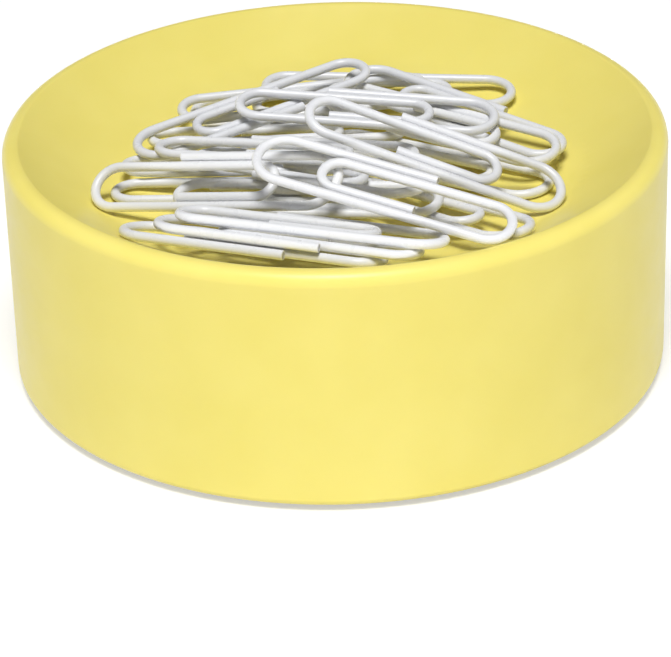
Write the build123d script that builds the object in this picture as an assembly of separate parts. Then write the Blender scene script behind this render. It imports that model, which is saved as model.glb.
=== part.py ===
from build123d import *
import os
from collections import namedtuple
from math import cos, radians, sin, sqrt

import numpy as np
from scipy.optimize import linprog
from scipy.spatial import KDTree

# Magnetic paper clip holder: a round dish on a straight wall, a magnet under the dish floor,
# and a heap of bent wire clips held in the dish. Millimetres, +Z up, standing on z = 0.

# Dish and wall, one moulding
OUTER_D = 70.0            # outside of the straight wall
WALL_H = 25.9             # wall's bottom edge to the crown of the lip
WALL_T = 2.2
LIP_ROUND = 1.5           # outside round of the lip
LIP_INNER_ROUND = 0.6     # round where the lip turns into the dish
LIP_SLOPE = 35.0          # degrees, fall of the dish border just inside the lip
FLOOR_D = 52.0            # dish floor inside its sloping border
BORDER_DEPTH = 3.9        # crown of the lip to the edge of the dish floor
FLOOR_DISHING = 1.5       # further fall from the floor's edge to its middle
DISH_T = 2.2              # dish thickness, measured upright
EDGE_ROUND = 0.8          # round on the wall's bottom edge

# Magnet under the dish floor and the steel plate behind it
MAGNET_D = 28.0
MAGNET_T = 5.0
PLATE_T = 1.2
MAGNET_FIT = 0.2          # gap round the magnet in its pocket
POCKET_T = 1.6            # wall of the round pocket

# Base cover let into the wall from below
COVER_T = 2.6
COVER_LEDGE = 0.8         # step in the wall that the cover lies against
COVER_FIT = 0.2           # gap round the cover
POST_D = 22.0             # hollow post that presses the plate and magnet home
POST_T = 2.0

# Rubber foot in a recess of the cover
FOOT_D = 58.0
FOOT_T = 1.2
FOOT_PROUD = 0.5          # how far the foot stands below the wall
FOOT_FIT = 0.2            # gap round the foot
FOOT_CHAMFER = 0.3

# Cover screws, hidden by the foot
SCREW_COUNT = 3
SCREW_CIRCLE_D = 44.0
SCREW_D = 2.2
SCREW_PILOT_D = 1.8       # hole in the boss that the thread bites into
SCREW_L = 9.0             # under the head
SCREW_POINT = 1.2         # length of the tapered tip
HEAD_D = 4.4
HEAD_T = 1.3
HEAD_CHAMFER = 0.5
HEAD_FIT = 0.2            # gap round and under the head
SCREW_HOLE_FIT = 0.2      # gap round the shank in the cover
SEAT_T = 1.6              # cover thickness under the head
BOSS_D = 6.0

# Wire clip
WIRE_D = 1.0
WIRE_SIDES = 8            # flats of the modelled wire
NEST_GAP = 0.1            # gap between neighbouring wires of one clip
CLIP_L = 28.0
CLIP_W = 6.9
FIRST_LEG = 18.5          # from the big loop's outside to the wire's first end
INNER_REACH = 21.1        # from the end loop's outside to the inner loop's outside
LAST_LEG = 10.9           # from the inner loop's outside to the wire's last end

# How the clips lie
LAY_GAP = 0.1             # gap between a laid clip and what it rests on
WIRE_STEP = 0.35          # spacing of the points that feel for a rest along a clip
DISH_STEP = 0.12          # the same across the dish
LEAN_ROUNDS = 10          # rounds of leaning until a clip rests

# A clip's place: middle, heading of its long axis, side up, and the lean that it is laid with,
# in degrees along and across it. It settles from there by at most the layer's play.
Spot = namedtuple("Spot", "x y heading side pitch roll")
SPOT_UNIT = 1.0           # length that x and y are counted in
FLOOR_PLAY = 8.0
MIDDLE_PLAY = 7.0
TOP_PLAY = 5.0
FLOOR_LAYER = [
    Spot(9.5, -14.5, -50, -1, 9, 0),
    Spot(10.5, -1.7, -35, 1, 0, 0),
    Spot(-9.5, -9.5, -6, 1, 0, 0),
    Spot(-8.5, -2.5, 0, -1, 0, 0),
    Spot(-6.0, 4.5, 8, 1, 0, 0),
    Spot(-2.0, 15.5, 194, 1, 0, 0),
    Spot(-8.5, -25.0, 159, -1, 0, 8),
    Spot(6.0, 15.0, -5, 1, 0, 0),
]
MIDDLE_LAYER = [
    Spot(-3.0, 11.0, 10, 1, 0, 0),
    Spot(13.0, 6.0, 143, 1, -3, 0),
    Spot(11.0, 1.5, -30, 1, 0, 0),
    Spot(-8.5, 5.0, 206, -1, -4, 0),
    Spot(3.5, 2.0, -8, -1, 0, 0),
    Spot(-5.0, -25.5, 159, -1, 0, 14),
    Spot(-2.5, -24.5, -18, -1, -2, -14),
    Spot(-3.0, -14.5, -10, 1, 0, 0),
    Spot(-3.0, -10.5, -32, 1, 0, 0),
    Spot(-5.0, -6.5, -14, -1, 0, 0),
]
TOP_LAYER = [
    Spot(-12.2, -14.0, -22, -1, 14, 40),
    Spot(4.8, -22.0, 158, 1, 13, -12),
    Spot(10.3, -10.7, -10, -1, -24, 25),
]
LAYERS = [(FLOOR_LAYER, FLOOR_PLAY), (MIDDLE_LAYER, MIDDLE_PLAY), (TOP_LAYER, TOP_PLAY)]

# Heights and radii that several pieces share
BASE_Z = FOOT_PROUD
RIM_Z = BASE_Z + WALL_H
WALL_R = OUTER_D / 2
BORE_R = WALL_R - WALL_T
LEDGE_R = BORE_R + COVER_LEDGE
LEDGE_Z = BASE_Z + COVER_T
MAGNET_TOP_Z = RIM_Z - BORDER_DEPTH - FLOOR_DISHING - DISH_T
PLATE_TOP_Z = MAGNET_TOP_Z - MAGNET_T
POST_TOP_Z = PLATE_TOP_Z - PLATE_T
POCKET_R = MAGNET_D / 2 + MAGNET_FIT
HEAD_SEAT_Z = FOOT_T + HEAD_T + HEAD_FIT
BOSS_Z = HEAD_SEAT_Z + SEAT_T


def disc(radius, low, high):
    """Upright cylinder on the holder's axis between two heights."""
    return Pos(0, 0, (low + high) / 2) * Cylinder(radius, high - low)


def ring(outer, inner, low, high):
    return disc(outer, low, high) - disc(inner, low, high)


def at_screws(shape):
    """Copies of a shape that stands on the axis, one on each screw."""
    return PolarLocations(SCREW_CIRCLE_D / 2, SCREW_COUNT) * shape


def round_corner(centre, radius, start, end):
    """Arc in the radial section, from one angle to another in degrees."""
    def at(angle):
        return (centre[0] + radius * cos(radians(angle)), 0, centre[1] + radius * sin(radians(angle)))
    return ThreePointArc(at(start), at((start + end) / 2), at(end))


def dish_section():
    """Upper outline of the holder in the radial section, from the wall over the lip to the axis."""
    crown_r = WALL_R - LIP_ROUND
    lip = round_corner((crown_r, RIM_Z - LIP_ROUND), LIP_ROUND, 0, 90)
    inner_lip = round_corner((crown_r, RIM_Z - LIP_INNER_ROUND), LIP_INNER_ROUND, 90, 90 + LIP_SLOPE)
    floor_edge = (FLOOR_D / 2, 0, RIM_Z - BORDER_DEPTH)
    border = TangentArc(inner_lip @ 1, floor_edge, tangent=inner_lip % 1)
    bowl_r = ((FLOOR_D / 2) ** 2 + FLOOR_DISHING ** 2) / (2 * FLOOR_DISHING)
    floor_z = floor_edge[2] - FLOOR_DISHING
    half_way = FLOOR_D / 4
    half_way_z = floor_z + bowl_r - sqrt(bowl_r ** 2 - half_way ** 2)
    floor = ThreePointArc(floor_edge, (half_way, 0, half_way_z), (0, 0, floor_z))
    return [lip, inner_lip, border, floor]


def outer_form():
    """The holder's outside as one full solid, with the dish as its top."""
    section = dish_section()
    corner = round_corner((WALL_R - EDGE_ROUND, BASE_Z + EDGE_ROUND), EDGE_ROUND, -90, 0)
    sides = [
        Line(section[-1] @ 1, (0, 0, BASE_Z)),
        Line((0, 0, BASE_Z), corner @ 0),
        corner,
        Line(corner @ 1, section[0] @ 0),
    ]
    return revolve(make_face(sides + section), Axis.Z)


def dish_shell():
    """Wall, lip and dish, with the magnet's pocket and the screw bosses under the dish."""
    form = outer_form()
    hollow = (Pos(0, 0, -DISH_T) * form) & disc(BORE_R, BASE_Z - DISH_T, RIM_Z)
    shell = form - hollow - disc(LEDGE_R, BASE_Z, LEDGE_Z)
    magnet_seat = disc(POCKET_R + POCKET_T, MAGNET_TOP_Z, RIM_Z) & form
    pocket = ring(POCKET_R + POCKET_T, POCKET_R, POST_TOP_Z, MAGNET_TOP_Z)
    bosses = [boss & form for boss in at_screws(disc(BOSS_D / 2, BOSS_Z, RIM_Z))]
    pilot_top = HEAD_SEAT_Z + SCREW_L + HEAD_FIT
    pilots = at_screws(disc(SCREW_PILOT_D / 2, BOSS_Z, pilot_top))
    return shell + magnet_seat + pocket + bosses - pilots


def magnet():
    return disc(MAGNET_D / 2, PLATE_TOP_Z, MAGNET_TOP_Z)


def backing_plate():
    return disc(MAGNET_D / 2, POST_TOP_Z, PLATE_TOP_Z)


def base_cover():
    """Plate let into the wall, with the foot's recess, the screw wells and the magnet's post."""
    plate = disc(LEDGE_R - COVER_FIT, BASE_Z, LEDGE_Z)
    post = ring(POST_D / 2, POST_D / 2 - POST_T, LEDGE_Z, POST_TOP_Z)
    seats = at_screws(disc(BOSS_D / 2, LEDGE_Z, BOSS_Z))
    recess = disc(FOOT_D / 2 + FOOT_FIT, BASE_Z, FOOT_T)
    wells = at_screws(disc(HEAD_D / 2 + HEAD_FIT, FOOT_T, HEAD_SEAT_Z))
    holes = at_screws(disc(SCREW_D / 2 + SCREW_HOLE_FIT, HEAD_SEAT_Z, BOSS_Z))
    return plate + post + seats - recess - wells - holes


def base_screws():
    """Pan head screws that hold the cover to the bosses."""
    shank_top = HEAD_SEAT_Z + SCREW_L - SCREW_POINT
    head = disc(HEAD_D / 2, HEAD_SEAT_Z - HEAD_T, HEAD_SEAT_Z)
    head = chamfer(head.edges().group_by(Axis.Z)[0], HEAD_CHAMFER)
    shank = disc(SCREW_D / 2, HEAD_SEAT_Z, shank_top)
    point = Pos(0, 0, shank_top + SCREW_POINT / 2) * Cone(SCREW_D / 2, 0, SCREW_POINT)
    return Compound(at_screws(head + shank + point))


def rubber_foot():
    pad = disc(FOOT_D / 2, 0, FOOT_T)
    return chamfer(pad.edges().group_by(Axis.Z)[0], FOOT_CHAMFER)


def clip_line():
    """Centreline of one clip lying flat, its long axis along X and its big loop at +X."""
    nest = WIRE_D + NEST_GAP
    big = (CLIP_W - WIRE_D) / 2
    end = big - nest / 2
    inner = end - nest / 2
    leg_1, leg_2 = -big, big
    leg_3 = leg_2 - 2 * end
    leg_4 = leg_3 + 2 * inner
    tip = CLIP_L / 2 - WIRE_D / 2
    big_x = tip - big
    end_x = end - tip
    inner_x = INNER_REACH - WIRE_D - tip - inner
    first_x = CLIP_L / 2 - FIRST_LEG
    last_x = INNER_REACH - CLIP_L / 2 - LAST_LEG
    return Wire([
        Line((first_x, leg_1), (big_x, leg_1)),
        ThreePointArc((big_x, leg_1), (big_x + big, 0), (big_x, leg_2)),
        Line((big_x, leg_2), (end_x, leg_2)),
        ThreePointArc((end_x, leg_2), (end_x - end, leg_2 - end), (end_x, leg_3)),
        Line((end_x, leg_3), (inner_x, leg_3)),
        ThreePointArc((inner_x, leg_3), (inner_x + inner, leg_3 + inner), (inner_x, leg_4)),
        Line((inner_x, leg_4), (last_x, leg_4)),
    ])


def clip_solid(line):
    """Wire swept along the centreline, with plain cut ends."""
    start = Plane(origin=line @ 0, z_dir=line % 0)
    section = start * Rot(0, 0, 180 / WIRE_SIDES) * RegularPolygon(WIRE_D / 2, WIRE_SIDES)
    return sweep(section, path=line)


def points_on(curve, spacing):
    """Evenly spaced points along a curve, as rows of x, y, z."""
    count = max(2, round(curve.length / spacing))
    return np.array([tuple(curve.position_at(k / count)) for k in range(count + 1)])


def dish_rest():
    """Radii across the dish and the height of a wire's centre that lies there."""
    outline = np.vstack([points_on(edge, DISH_STEP) for edge in dish_section()])
    reach = WIRE_D / 2 + LAY_GAP
    radii = np.arange(0, WALL_R, DISH_STEP)
    gaps = radii[:, None] - outline[:, 0]
    climb = np.sqrt(np.maximum(reach ** 2 - gaps ** 2, 0))
    return radii, np.where(np.abs(gaps) < reach, outline[:, 2] + climb, 0).max(axis=1)


def rest_heights(plan, dish, laid):
    """Lowest height of the wire's centre at each plan point, over the dish and the laid clips."""
    need = np.interp(np.hypot(plan[:, 0], plan[:, 1]), *dish)
    reach = WIRE_D + LAY_GAP
    if len(laid):
        close = KDTree(plan).sparse_distance_matrix(KDTree(laid[:, :2]), reach, output_type="coo_matrix")
        np.maximum.at(need, close.row, laid[close.col, 2] + np.sqrt(reach ** 2 - close.data ** 2))
    return need


def clip_axes(spot, slopes):
    """Long, cross and upward directions of a clip from its heading and its two slopes."""
    turn = radians(spot.heading)
    ahead = np.array([cos(turn), sin(turn), 0.0])
    aside = np.array([-sin(turn), cos(turn), 0.0])
    long_dir = ahead + [0.0, 0.0, slopes[0]]
    up_dir = np.array([0.0, 0.0, 1.0]) - slopes[0] * ahead - slopes[1] * aside
    long_dir = long_dir / np.linalg.norm(long_dir)
    up_dir = up_dir / np.linalg.norm(up_dir)
    return long_dir, np.cross(up_dir, long_dir), up_dir


def settle(spot, play, line, dish, laid):
    """Lower a clip until it rests, letting it lean within its play; gives its place and its points."""
    lean = np.array([spot.pitch, spot.roll])
    lowest, highest = np.tan(np.radians(lean - play)), np.tan(np.radians(lean + play))
    slopes = np.tan(np.radians(lean))
    flat = line * [1, spot.side, 1]
    middle = SPOT_UNIT * np.array([spot.x, spot.y, 0.0])

    def leaning():
        long_dir, cross_dir, up_dir = clip_axes(spot, slopes)
        points = middle + flat[:, :1] * long_dir + flat[:, 1:2] * cross_dir
        return points, rest_heights(points[:, :2], dish, laid), long_dir, up_dir

    for _ in range(LEAN_ROUNDS):
        points, need, long_dir, up_dir = leaning()
        away = points - middle
        turn = radians(spot.heading)
        along = away[:, 0] * cos(turn) + away[:, 1] * sin(turn)
        across = away[:, 1] * cos(turn) - away[:, 0] * sin(turn)
        above = np.column_stack([np.ones(len(along)), along, across])
        limits = [(None, None), (lowest[0], highest[0]), (lowest[1], highest[1])]
        plane = linprog([1, 0, 0], A_ub=-above, b_ub=-need, bounds=limits).x
        slopes = (slopes + plane[1:]) / 2
    points, need, long_dir, up_dir = leaning()
    drop = np.array([0.0, 0.0, (need - points[:, 2]).max()])
    place = Plane(origin=tuple(middle + drop), x_dir=tuple(long_dir), z_dir=tuple(spot.side * up_dir))
    return place, points + drop


def paper_clips():
    """The heap, clip by clip, each laid over those before it."""
    line = clip_line()
    solid = clip_solid(line)
    wire = points_on(line, WIRE_STEP)
    dish = dish_rest()
    laid = np.zeros((0, 3))
    clips = []
    for spots, play in LAYERS:
        for spot in spots:
            place, points = settle(spot, play, wire, dish, laid)
            laid = np.vstack([laid, points])
            clips.append(place.location * solid)
    return clips


def write(name, shape):
    shape.label = name
    export_step(shape, f"parts/{name}.step")


os.makedirs("parts", exist_ok=True)
write("dish_shell", dish_shell())
write("magnet", magnet())
write("backing_plate", backing_plate())
write("base_cover", base_cover())
write("base_screws", base_screws())
write("rubber_foot", rubber_foot())
for number, clip in enumerate(paper_clips(), start=1):
    write(f"paper_clip_{number:02d}", clip)
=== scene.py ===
from math import atan, cos, pi, radians, sin

import bpy
import numpy as np
from mathutils import Matrix, Vector


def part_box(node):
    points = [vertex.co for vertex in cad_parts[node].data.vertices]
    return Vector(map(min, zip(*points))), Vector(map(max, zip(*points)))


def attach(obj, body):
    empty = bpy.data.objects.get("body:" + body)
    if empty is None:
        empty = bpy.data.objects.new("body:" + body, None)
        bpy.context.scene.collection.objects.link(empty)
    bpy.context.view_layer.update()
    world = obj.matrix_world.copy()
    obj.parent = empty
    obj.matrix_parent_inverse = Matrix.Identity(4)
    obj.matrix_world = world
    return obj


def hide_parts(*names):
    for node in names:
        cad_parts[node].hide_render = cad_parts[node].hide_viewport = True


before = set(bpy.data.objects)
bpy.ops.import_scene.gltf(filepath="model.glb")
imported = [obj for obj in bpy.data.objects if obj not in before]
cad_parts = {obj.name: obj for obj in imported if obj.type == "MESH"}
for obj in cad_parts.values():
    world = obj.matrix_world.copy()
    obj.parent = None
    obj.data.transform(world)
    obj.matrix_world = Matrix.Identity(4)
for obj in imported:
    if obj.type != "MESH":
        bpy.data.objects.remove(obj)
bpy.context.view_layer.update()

# Looks of a round dish that holds a heap of white coated wire clips. Metres, +Z up.

MM = 0.001

# Photograph's frame and the camera fitted to it
PICTURE_W = 671
PICTURE_H = 657
FOCAL_PX = 3268.0             # focal length in pixels
SENSOR_W = 36.0               # millimetres
MIDDLE_PX = (337.5, 234.8)    # where the middle of the holder's wall lands
CAMERA_DISTANCE = 0.350
CAMERA_ELEVATION = 26.32      # degrees
CAMERA_ROLL = -1.68           # degrees
CAMERA_NEAR = 0.01            # nothing nearer than this is drawn

# Wire clip
WIRE_D = 1.0 * MM
NEST_GAP = 0.1 * MM           # between neighbouring wires of one clip
CLIP_L = 28.0 * MM
CLIP_W = 6.9 * MM
FIRST_LEG = 18.5 * MM         # from the big loop's outside to the wire's first end
INNER_REACH = 21.1 * MM       # from the end loop's outside to the inner loop's outside
LAST_LEG = 10.9 * MM          # from the inner loop's outside to the wire's last end
CORE_D = 0.72 * MM            # steel core inside the vinyl coat
CORE_SUNK = 0.03 * MM         # how far the core's cut face lies inside the coat's
CUT_BEVEL = 0.05 * MM         # round on the coat's cut edge
FIRST_END_X = CLIP_L / 2 - FIRST_LEG   # where the wire's first end lies, from the clip's middle
WIRE_SIDES = 24
LOOP_STEPS = 30               # stations round each half loop
LEG_STEPS = 6                 # stations along each straight leg
CLIP_COUNT = 21
TURN_RANGE = 8.0              # degrees about the rough long axis searched for the true one
TURN_STEP = 0.02
SAME_HEADING = 1e-6           # radians; stations that differ by less are the ends of a straight leg

# Shading of the carried-over solids
WELD_GAP = 0.001 * MM
SHARP_ANGLE = radians(32)
LIP_ROUND = 1.5 * MM          # outside round of the shell's lip
LIP_INNER_ROUND = 0.6 * MM    # round where the lip turns into the dish
EDGE_ROUND = 0.8 * MM         # round on the wall's bottom edge
FLOOR_D = 52.0 * MM           # dish floor inside its sloping border
BORDER_DEPTH = 3.9 * MM       # crown of the lip to the edge of the dish floor
FLOOR_EDGE_LEAN = radians(14)  # between the border's fall and the floor's
ON_ROUND = 0.02 * MM          # a corner this near to a round or an edge lies on it

# Studio
WHITE = (1.0, 1.0, 1.0, 1.0)
FILL_LEVEL = 0.10             # brightness of the surroundings
KEY_LEVEL = 0.91              # light on a surface that faces the lamp, where 1 renders white as white
KEY_AZIMUTH = -3              # degrees from the camera's side, positive to the right
KEY_ELEVATION = 70            # degrees
KEY_DISTANCE = 1.0
KEY_SIZE = 0.35
STRIP_LEVEL = 0.318           # the same as the key's for each of the low strips round the wall
STRIP_AZIMUTHS = {"left_strip": -48, "right_strip": 48, "back_strip": 180}
STRIP_ELEVATION = 0           # degrees
STRIP_DISTANCE = 0.45
STRIP_W = 0.30
STRIP_H = 0.02                # low enough for the lip to keep the strips' light off the clips
FLOOR_SIZE = 6.0
FLOOR_DROP = 0.02 * MM        # keeps the floor's face apart from the foot's
FLOOR_COLOUR = (0.62, 0.62, 0.62, 1.0)
FLOOR_ROUGHNESS = 0.9
FLOOR_GLOW = 0.49             # what the floor lacks to white where it is lit fully
LIT_REACH = 0.25              # from the middle to where the lamps' light on the floor starts to fade
DARK_REACH = 1.0              # the same to where only the glow is left


# Node helpers

def put(tree, socket, value):
    """Set a socket to a value, or link it to another node's output."""
    if isinstance(value, bpy.types.NodeSocket):
        tree.links.new(value, socket)
    else:
        socket.default_value = value


def add(tree, kind, settings=None, **inputs):
    """New node with its settings and inputs; an input's name has _ for a space."""
    node = tree.nodes.new(kind)
    for name, value in (settings or {}).items():
        setattr(node, name, value)
    for name, value in inputs.items():
        put(tree, node.inputs[name.replace("_", " ")], value)
    return node


def fill(tree, node, *values):
    """Set a node's inputs in their order."""
    for socket, value in zip(node.inputs, values):
        put(tree, socket, value)
    return node


def scalar(tree, operation, *values):
    """Sum, product, larger one and the like of numbers."""
    return fill(tree, add(tree, "ShaderNodeMath", {"operation": operation}), *values).outputs[0]


def vector(tree, operation, *values):
    """Vector sum, product, length and the like."""
    node = fill(tree, add(tree, "ShaderNodeVectorMath", {"operation": operation}), *values)
    return node.outputs["Value" if operation in ("LENGTH", "DOT_PRODUCT") else "Vector"]


def compare(tree, operation, first, second, **inputs):
    """Test of two numbers."""
    settings = {"operation": operation}
    return add(tree, "FunctionNodeCompare", settings, A=first, B=second, **inputs).outputs[0]


def pick(tree, test, yes, no):
    """One vector where the test holds, and the other elsewhere."""
    choice = {"Switch": test, "False": no, "True": yes}
    return add(tree, "GeometryNodeSwitch", {"input_type": "VECTOR"}, **choice).outputs[0]


def noise(tree, size, detail=2.0, stretch=(1.0, 1.0, 1.0)):
    """Noise in the piece's own space, its features about this many metres across."""
    place = add(tree, "ShaderNodeTexCoord").outputs["Object"]
    scaled = add(tree, "ShaderNodeMapping", Vector=place, Scale=stretch).outputs["Vector"]
    return add(tree, "ShaderNodeTexNoise", Vector=scaled, Scale=1 / size, Detail=detail).outputs[0]


def spread(tree, value, low=0.0, high=1.0, start=0.3, stop=0.7):
    """Maps what lies from start to stop, as the middle of a noise does, to the range from low to high."""
    settings = {"clamp": True}
    inputs = {"Value": value, "From_Min": start, "From_Max": stop, "To_Min": low, "To_Max": high}
    return add(tree, "ShaderNodeMapRange", settings, **inputs).outputs["Result"]


def two_tone(tree, share, first, second):
    """Colour between two, by a share from 0 to 1."""
    mix = add(tree, "ShaderNodeMix", {"data_type": "RGBA"})
    factor, start, stop = mix.inputs[0], mix.inputs[6], mix.inputs[7]
    put(tree, factor, share)
    put(tree, start, (*first, 1.0))
    put(tree, stop, (*second, 1.0))
    return mix.outputs[2]


def bump(tree, height, depth, strength=1.0, under=None):
    """Normal of a relief that is this many metres deep."""
    node = add(tree, "ShaderNodeBump", Height=height, Distance=depth, Strength=strength)
    if under is not None:
        put(tree, node.inputs["Normal"], under)
    return node.outputs["Normal"]


def new_material(name):
    material = bpy.data.materials.new(name)
    material.use_nodes = True
    tree = material.node_tree
    return material, tree, tree.nodes["Principled BSDF"]


def finish_shader(tree, shader, **inputs):
    for name, value in inputs.items():
        put(tree, shader.inputs[name.replace("_", " ")], value)


# Materials

def yellow_plastic():
    """Glossy moulded plastic: a slight cloudiness, a soft ripple and fine scuffs in the gloss."""
    material, tree, shader = new_material("yellow_plastic")
    cloud = spread(tree, noise(tree, size=9 * MM))
    waves = bump(tree, noise(tree, size=1.6 * MM, detail=1.0), depth=0.003 * MM, strength=0.5)
    grain = noise(tree, size=0.22 * MM, detail=3.0)
    scuff = noise(tree, size=3 * MM, detail=4.0, stretch=(1.0, 1.0, 2.0))
    finish_shader(
        tree, shader,
        Base_Color=two_tone(tree, cloud, (0.885, 0.765, 0.190), (0.915, 0.795, 0.215)),
        Roughness=spread(tree, scuff, low=0.29, high=0.36),
        Specular_IOR_Level=0.25,
        Normal=bump(tree, grain, depth=0.0008 * MM, strength=0.5, under=waves),
        Subsurface_Weight=0.08,
        Subsurface_Radius=(1.0, 0.8, 0.25),
        Subsurface_Scale=0.6 * MM,
    )
    return material


def cover_plastic():
    """The same plastic, left matte by a spark-grained mould."""
    material, tree, shader = new_material("cover_plastic")
    grain = noise(tree, size=0.25 * MM, detail=4.0)
    cloud = spread(tree, noise(tree, size=7 * MM))
    finish_shader(
        tree, shader,
        Base_Color=two_tone(tree, cloud, (0.84, 0.72, 0.20), (0.88, 0.76, 0.24)),
        Roughness=spread(tree, grain, low=0.48, high=0.66),
        IOR=1.53,
        Normal=bump(tree, grain, depth=0.02 * MM),
    )
    return material


def coated_wire():
    """White vinyl on wire: slightly uneven coat, each clip a little lighter or darker."""
    material, tree, shader = new_material("coated_wire")
    each = add(tree, "ShaderNodeObjectInfo").outputs["Random"]
    uneven = noise(tree, size=1.2 * MM, detail=3.0)
    flow = noise(tree, size=0.5 * MM, detail=2.0, stretch=(0.3, 1.0, 1.0))
    finish_shader(
        tree, shader,
        Base_Color=two_tone(tree, each, (0.778, 0.788, 0.818), (0.828, 0.834, 0.852)),
        Roughness=spread(tree, uneven, low=0.24, high=0.38),
        IOR=1.52,
        Normal=bump(tree, flow, depth=0.008 * MM, strength=0.6),
    )
    return material


def cut_steel():
    """Sheared face of the wire's core: dull metal with fine lines across it."""
    material, tree, shader = new_material("cut_steel")
    lines = noise(tree, size=0.12 * MM, detail=3.0, stretch=(1.0, 5.0, 1.0))
    finish_shader(
        tree, shader,
        Base_Color=two_tone(tree, lines, (0.50, 0.50, 0.52), (0.68, 0.68, 0.69)),
        Metallic=1.0,
        Roughness=spread(tree, lines, low=0.35, high=0.60),
        Normal=bump(tree, lines, depth=0.01 * MM),
    )
    return material


def ferrite():
    """Sintered magnet: near-black, with lighter specks and a coarse face."""
    material, tree, shader = new_material("ferrite")
    speck = spread(tree, noise(tree, size=0.3 * MM, detail=6.0), start=0.45, stop=0.75)
    finish_shader(
        tree, shader,
        Base_Color=two_tone(tree, speck, (0.045, 0.045, 0.050), (0.110, 0.110, 0.115)),
        Roughness=spread(tree, speck, low=0.55, high=0.75),
        Normal=bump(tree, speck, depth=0.01 * MM),
    )
    return material


def plain_steel():
    """Cold rolled sheet with the roller's lines along X."""
    material, tree, shader = new_material("plain_steel")
    lines = noise(tree, size=0.6 * MM, detail=4.0, stretch=(0.05, 1.0, 1.0))
    finish_shader(
        tree, shader,
        Base_Color=two_tone(tree, lines, (0.48, 0.48, 0.49), (0.58, 0.58, 0.59)),
        Metallic=1.0,
        Roughness=spread(tree, lines, low=0.28, high=0.45),
        Normal=bump(tree, lines, depth=0.003 * MM),
    )
    return material


def zinc_steel():
    """Bright zinc with its faint bluish spangle."""
    material, tree, shader = new_material("zinc_steel")
    spangle = noise(tree, size=0.8 * MM, detail=3.0)
    finish_shader(
        tree, shader,
        Base_Color=two_tone(tree, spangle, (0.60, 0.61, 0.64), (0.68, 0.68, 0.68)),
        Metallic=1.0,
        Roughness=spread(tree, spangle, low=0.22, high=0.38),
        Normal=bump(tree, spangle, depth=0.004 * MM),
    )
    return material


def foot_rubber():
    """Non-slip rubber: dusty black with a fine pebbled face."""
    material, tree, shader = new_material("foot_rubber")
    pebble = noise(tree, size=0.35 * MM, detail=3.0)
    dust = spread(tree, noise(tree, size=6 * MM, detail=4.0))
    finish_shader(
        tree, shader,
        Base_Color=two_tone(tree, dust, (0.028, 0.028, 0.030), (0.050, 0.050, 0.050)),
        Roughness=spread(tree, pebble, low=0.70, high=0.88),
        Normal=bump(tree, pebble, depth=0.03 * MM),
    )
    return material


# Carried-over solids

def new_group(name):
    """Empty modifier that takes a mesh and gives one."""
    group = bpy.data.node_groups.new(name, "GeometryNodeTree")
    for way in ("INPUT", "OUTPUT"):
        group.interface.new_socket("Geometry", in_out=way, socket_type="NodeSocketGeometry")
    return group, add(group, "NodeGroupInput").outputs[0]


def smooth_group():
    """Joins the solid's faces and shades them smooth, but for edges sharper than the named angle."""
    group, source = new_group("smooth_faces")
    free = add(group, "GeometryNodeRemoveAttribute", Geometry=source, Name="custom_normal")
    joined = add(group, "GeometryNodeMergeByDistance", Geometry=free.outputs[0], Distance=WELD_GAP)
    smooth = add(group, "GeometryNodeSetShadeSmooth", {"domain": "FACE"}, Geometry=joined.outputs[0])
    angle = add(group, "GeometryNodeInputMeshEdgeAngle").outputs["Unsigned Angle"]
    sharp = compare(group, "GREATER_THAN", angle, SHARP_ANGLE)
    creased = add(group, "GeometryNodeSetShadeSmooth", {"domain": "EDGE"}, Geometry=smooth.outputs[0],
                  Selection=sharp, Shade_Smooth=False)
    put(group, add(group, "NodeGroupOutput").inputs[0], creased.outputs[0])
    return group


def round_normals():
    """Gives the corners on the shell's turned rounds, and on the dish floor's edge, even normals."""
    group, source = new_group("round_normals")
    low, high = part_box("dish_shell")
    place = add(group, "GeometryNodeInputPosition").outputs[0]
    outward = vector(group, "NORMALIZE", vector(group, "MULTIPLY", place, (1, 1, 0)))

    def out_and_up(out, up):
        return vector(group, "MULTIPLY_ADD", outward, (out, out, out), (0, 0, up))

    # Each round: its radius, the ring that its middle runs on, and which way it bulges
    crown_r = high.x - LIP_ROUND
    rounds = (
        (LIP_ROUND, crown_r, high.z - LIP_ROUND, 1, 1),
        (LIP_INNER_ROUND, crown_r, high.z - LIP_INNER_ROUND, -1, 1),
        (EDGE_ROUND, high.x - EDGE_ROUND, low.z + EDGE_ROUND, 1, -1),
    )
    normal = add(group, "GeometryNodeInputNormal").outputs["Normal"]
    for radius, ring_r, ring_z, out_way, up_way in rounds:
        arm = vector(group, "SUBTRACT", place, out_and_up(ring_r, ring_z))
        facing = vector(group, "DOT_PRODUCT", arm, out_and_up(out_way, up_way))
        near = compare(group, "EQUAL", vector(group, "LENGTH", arm), radius, Epsilon=ON_ROUND)
        outside = compare(group, "GREATER_THAN", facing, 0.0)
        both = fill(group, add(group, "FunctionNodeBooleanMath", {"operation": "AND"}), near, outside)
        normal = pick(group, both.outputs[0], vector(group, "NORMALIZE", arm), normal)
    from_edge = vector(group, "SUBTRACT", place, out_and_up(FLOOR_D / 2, high.z - BORDER_DEPTH))
    at_edge = compare(group, "LESS_THAN", vector(group, "LENGTH", from_edge), ON_ROUND)
    normal = pick(group, at_edge, out_and_up(-sin(FLOOR_EDGE_LEAN), cos(FLOOR_EDGE_LEAN)), normal)
    settings = {"mode": "FREE", "domain": "CORNER"}
    turned = add(group, "GeometryNodeSetMeshNormal", settings, Mesh=source, Custom_Normal=normal)
    put(group, add(group, "NodeGroupOutput").inputs[0], turned.outputs[0])
    return group


def dress(node, material, smoothing):
    """Give a carried-over solid its material and smooth shading that large faces lead."""
    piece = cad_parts[node]
    piece.data.materials.clear()
    piece.data.materials.append(material)
    piece.modifiers.new("smooth_faces", "NODES").node_group = smoothing
    piece.modifiers.new("even_faces", "WEIGHTED_NORMAL").keep_sharp = True


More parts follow.
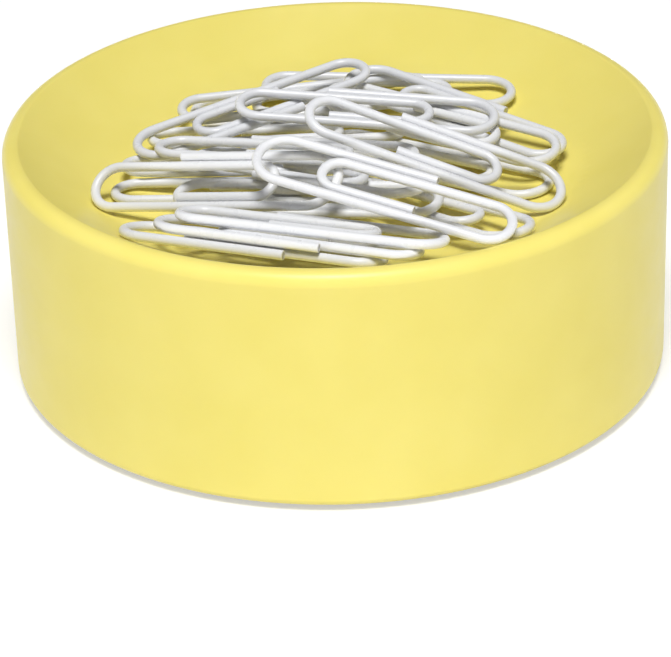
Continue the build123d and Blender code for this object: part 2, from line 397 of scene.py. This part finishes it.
# Wire clips

def half_loop(centre, radius, start):
    """Stations round a half turn to the left, as x, y and direction of travel, ends included."""
    angles = [start + pi * k / LOOP_STEPS for k in range(LOOP_STEPS + 1)]
    return [(centre[0] + radius * cos(a), centre[1] + radius * sin(a), a + pi / 2) for a in angles]


def clip_stations():
    """Centreline of one clip lying flat, its long axis along X and its big loop at +X."""
    nest = WIRE_D + NEST_GAP
    big = (CLIP_W - WIRE_D) / 2
    end = big - nest / 2
    inner = end - nest / 2
    leg_3 = big - 2 * end
    tip = CLIP_L / 2 - WIRE_D / 2
    last_x = INNER_REACH - CLIP_L / 2 - LAST_LEG
    loops = (
        half_loop((tip - big, 0), big, -pi / 2)
        + half_loop((end - tip, big - end), end, pi / 2)
        + half_loop((INNER_REACH - WIRE_D - tip - inner, leg_3 + inner), inner, -pi / 2)
    )
    turns = [(FIRST_END_X, -big, 0.0), *loops, (last_x, leg_3 + 2 * inner, pi)]
    stations = [turns[0]]
    for a, b in zip(turns, turns[1:]):
        steps = LEG_STEPS if abs(a[2] - b[2]) < SAME_HEADING else 1
        for k in range(1, steps + 1):
            stations.append(tuple(a[i] + (b[i] - a[i]) * k / steps for i in range(3)))
    return stations


def cut_end(station, inward):
    """Rings of a cut wire end, from the core's middle outward, as station, shift inward and radius."""
    wire_r = WIRE_D / 2
    core_r = CORE_D / 2
    shifts = [(CORE_SUNK, core_r), (0.0, core_r), (0.0, wire_r - CUT_BEVEL), (CUT_BEVEL, wire_r)]
    return [(station, inward * shift, radius) for shift, radius in shifts]


def ring_points(station, shift, radius):
    x, y, heading = station
    ahead = Vector((cos(heading), sin(heading), 0.0))
    aside = Vector((-sin(heading), cos(heading), 0.0))
    middle = Vector((x, y, 0.0)) + ahead * shift
    turns = [2 * pi * k / WIRE_SIDES for k in range(WIRE_SIDES)]
    return [middle + radius * (aside * cos(a) + Vector((0.0, 0.0, sin(a)))) for a in turns]


def clip_mesh(vinyl, steel):
    """Round coated wire with cut ends that show the core."""
    stations = clip_stations()
    rings = cut_end(stations[0], 1)
    rings += [(station, 0.0, WIRE_D / 2) for station in stations[1:-1]]
    rings += reversed(cut_end(stations[-1], -1))
    points = [point for ring in rings for point in ring_points(*ring)]
    faces = [tuple(reversed(range(WIRE_SIDES)))]
    for low in range(0, len(points) - WIRE_SIDES, WIRE_SIDES):
        for k in range(WIRE_SIDES):
            after = (k + 1) % WIRE_SIDES
            faces.append((low + k, low + after, low + WIRE_SIDES + after, low + WIRE_SIDES + k))
    faces.append(tuple(range(len(points) - WIRE_SIDES, len(points))))
    mesh = bpy.data.meshes.new("wire_clip")
    mesh.from_pydata(points, [], faces)
    mesh.materials.append(vinyl)
    mesh.materials.append(steel)
    for face in (*mesh.polygons[:WIRE_SIDES + 1], *mesh.polygons[-WIRE_SIDES - 1:]):
        face.material_index = 1
    mesh.shade_smooth()
    mesh.set_sharp_from_angle(angle=SHARP_ANGLE)
    return mesh


def clip_place(node):
    """Where a clip lies, read off its solid: its plane, its long axis and which way its big loop points."""
    corners = np.array([v.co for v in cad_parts[node].data.vertices])
    middle = corners.mean(axis=0)
    rough = np.linalg.svd(corners - middle, full_matrices=False)[2]
    along, across, above = rough @ (corners - middle).T
    turns = np.radians(np.arange(-TURN_RANGE, TURN_RANGE, TURN_STEP))
    turn = min(turns, key=lambda a: np.ptp(across * cos(a) - along * sin(a)))
    u = along * cos(turn) + across * sin(turn)
    v = across * cos(turn) - along * sin(turn)
    long_dir = rough[0] * cos(turn) + rough[1] * sin(turn)
    cross_dir = rough[1] * cos(turn) - rough[0] * sin(turn)
    centre = [(values.min() + values.max()) / 2 for values in (u, v, above)]
    middle = middle + centre[0] * long_dir + centre[1] * cross_dir + centre[2] * rough[2]
    u, v = u - centre[0], v - centre[1]
    # The corner beside the wire's first end is the one that holds no wire.
    for way, side in ((1, 1), (1, -1), (-1, 1), (-1, -1)):
        beside = (way * u < FIRST_END_X - WIRE_D) & (side * v < WIRE_D - CLIP_W / 2)
        if not beside.any():
            break
    x_dir = Vector(way * long_dir)
    y_dir = Vector(side * cross_dir)
    turned = Matrix((x_dir, y_dir, x_dir.cross(y_dir))).transposed().to_4x4()
    return Matrix.Translation(Vector(middle)) @ turned


def wire_clips(vinyl, steel):
    """One clip over each solid, with its place written into its own mesh."""
    flat = clip_mesh(vinyl, steel)
    for number in range(1, CLIP_COUNT + 1):
        mesh = flat.copy()
        mesh.transform(clip_place(f"paper_clip_{number:02d}"))
        clip = bpy.data.objects.new(f"wire_clip_{number:02d}", mesh)
        bpy.context.scene.collection.objects.link(clip)
        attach(clip, f"clip_{number:02d}")
        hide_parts(f"paper_clip_{number:02d}")


# Camera, floor and light

def camera():
    """Camera of the photograph, so turned that the wall's middle lands on its pixel."""
    low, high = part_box("dish_shell")
    middle = (low + high) / 2
    rise = radians(CAMERA_ELEVATION)
    roll = radians(CAMERA_ROLL)
    back = Vector((0.0, -cos(rise), sin(rise)))
    ahead, right = -back, Vector((1.0, 0.0, 0.0))
    up = right.cross(ahead)
    right, up = right * cos(roll) + up * sin(roll), up * cos(roll) - right * sin(roll)
    pan = atan((MIDDLE_PX[0] - PICTURE_W / 2) / FOCAL_PX)
    ahead, right = ahead * cos(pan) - right * sin(pan), right * cos(pan) + ahead * sin(pan)
    tilt = atan((PICTURE_H / 2 - MIDDLE_PX[1]) / FOCAL_PX * cos(pan))
    ahead, up = ahead * cos(tilt) - up * sin(tilt), up * cos(tilt) + ahead * sin(tilt)
    data = bpy.data.cameras.new("camera")
    data.sensor_fit = "HORIZONTAL"
    data.sensor_width = SENSOR_W
    data.lens = FOCAL_PX / PICTURE_W * SENSOR_W
    data.clip_start = CAMERA_NEAR
    eye = bpy.data.objects.new("camera", data)
    bpy.context.scene.collection.objects.link(eye)
    turned = Matrix((right, up, -ahead)).transposed().to_4x4()
    eye.matrix_world = Matrix.Translation(middle + back * CAMERA_DISTANCE) @ turned
    bpy.context.scene.camera = eye


def seen_share(tree):
    """1 for what the camera sees straight, by reflection or through glass, 0 for light on other things."""
    path = add(tree, "ShaderNodeLightPath")
    share = path.outputs["Is Camera Ray"]
    for kind in ("Is Glossy Ray", "Is Transmission Ray"):
        share = scalar(tree, "MAXIMUM", share, path.outputs[kind])
    return share


def floor():
    """Wide white floor that keeps the holder's shadow and is clear from below."""
    half = FLOOR_SIZE / 2
    corners = [(-half, -half), (half, -half), (half, half), (-half, half)]
    mesh = bpy.data.meshes.new("floor")
    mesh.from_pydata([(x, y, -FLOOR_DROP) for x, y in corners], [], [(0, 1, 2, 3)])
    plane = bpy.data.objects.new("floor", mesh)
    bpy.context.scene.collection.objects.link(plane)
    material, tree, shader = new_material("floor")
    away = vector(tree, "LENGTH", add(tree, "ShaderNodeTexCoord").outputs["Object"])
    glow = spread(tree, away, low=FLOOR_GLOW, start=LIT_REACH, stop=DARK_REACH)
    finish_shader(
        tree, shader,
        Base_Color=FLOOR_COLOUR,
        Roughness=FLOOR_ROUGHNESS,
        Specular_IOR_Level=0.0,
        Emission_Color=WHITE,
        Emission_Strength=scalar(tree, "MULTIPLY", seen_share(tree), glow),
    )
    from_below = add(tree, "ShaderNodeNewGeometry").outputs["Backfacing"]
    clear = add(tree, "ShaderNodeBsdfTransparent").outputs[0]
    either = fill(tree, add(tree, "ShaderNodeMixShader"), from_below, shader.outputs[0], clear)
    put(tree, tree.nodes["Material Output"].inputs["Surface"], either.outputs[0])
    mesh.materials.append(material)


def surroundings():
    world = bpy.data.worlds.new("studio")
    world.use_nodes = True
    background = world.node_tree.nodes["Background"]
    background.inputs["Color"].default_value = WHITE
    background.inputs["Strength"].default_value = FILL_LEVEL
    bpy.context.scene.world = world


def soft_lamp(name, level, azimuth, elevation, distance, width, height, glints):
    """Lamp aimed at the holder: level is its light on a facing surface, glints whether gloss mirrors it."""
    turn, rise = radians(azimuth), radians(elevation)
    away = Vector((sin(turn) * cos(rise), -cos(turn) * cos(rise), sin(rise)))
    data = bpy.data.lights.new(name, "AREA")
    data.shape = "RECTANGLE"
    data.size = width
    data.size_y = height
    data.energy = level * pi * pi * distance ** 2
    low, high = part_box("dish_shell")
    lamp = bpy.data.objects.new(name, data)
    bpy.context.scene.collection.objects.link(lamp)
    lamp.location = (low + high) / 2 + away * distance
    lamp.rotation_mode = "QUATERNION"
    lamp.rotation_quaternion = away.to_track_quat("Z", "Y")
    lamp.visible_camera = False
    lamp.visible_glossy = glints


bpy.context.scene.view_settings.view_transform = "Standard"
smoothing = smooth_group()
dress("dish_shell", yellow_plastic(), smoothing)
dress("base_cover", cover_plastic(), smoothing)
dress("magnet", ferrite(), smoothing)
dress("backing_plate", plain_steel(), smoothing)
dress("base_screws", zinc_steel(), smoothing)
dress("rubber_foot", foot_rubber(), smoothing)
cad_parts["dish_shell"].modifiers.new("round_normals", "NODES").node_group = round_normals()
wire_clips(coated_wire(), cut_steel())
camera()
floor()
surroundings()
soft_lamp("key", KEY_LEVEL, KEY_AZIMUTH, KEY_ELEVATION, KEY_DISTANCE, KEY_SIZE, KEY_SIZE, glints=True)
for name, azimuth in STRIP_AZIMUTHS.items():
    soft_lamp(name, STRIP_LEVEL, azimuth, STRIP_ELEVATION, STRIP_DISTANCE, STRIP_W, STRIP_H, glints=False)
